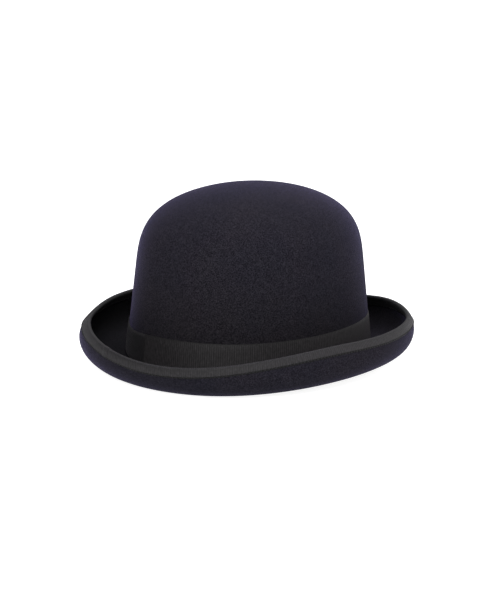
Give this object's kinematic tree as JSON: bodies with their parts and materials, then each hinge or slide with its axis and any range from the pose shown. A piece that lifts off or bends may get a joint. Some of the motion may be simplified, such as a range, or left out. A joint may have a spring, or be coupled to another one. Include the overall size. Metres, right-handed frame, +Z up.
{
  "type": "bowler hat",
  "caption": "Hard felt bowler hat with a domed crown, turned-up bound brim, flat ribbon bow, leather sweatband and lining.",
  "frame": {"origin": "centre of the hat's plan, on the level its brim rests on", "axes": "+Z up through the crown; -Y is the front of the hat; +X is the wearer's left, where the bow is"},
  "size_m": [0.2378, 0.2724, 0.1287],
  "materials": {
    "navy_felt": "brushed wool felt, matt, short nap",
    "black_grosgrain": "ribbed grosgrain ribbon, low sheen",
    "binding_grosgrain": "ribbed grosgrain ribbon folded over the edge",
    "black_thread": "twisted sewing thread",
    "brown_leather": "smooth dark roan leather, satin",
    "reed_plastic": "natural round reed",
    "cotton_tape": "narrow woven cotton tape",
    "black_satin": "narrow satin ribbon",
    "ticket_cloth": "blank woven ticket",
    "lining_satin": "dark satin, soft gloss"
  },
  "bodies": {
    "root": {"felt_body": "navy_felt", "crown_band": "black_grosgrain", "bow_tail": "black_grosgrain", "bow_loop_rear": "black_grosgrain", "bow_loop_front": "black_grosgrain", "bow_knot": "black_grosgrain", "brim_binding": "binding_grosgrain", "binding_thread_outer": "black_thread", "binding_thread_inner": "black_thread", "sweatband": "brown_leather", "sweatband_reed": "reed_plastic", "reed_tape": "cotton_tape", "sweatband_thread": "black_thread", "sweatband_bow": "black_satin", "size_ticket": "ticket_cloth", "lining_wall": "lining_satin", "lining_tip": "lining_satin", "tip_piping": "black_satin"}
  },
  "joints": []
}
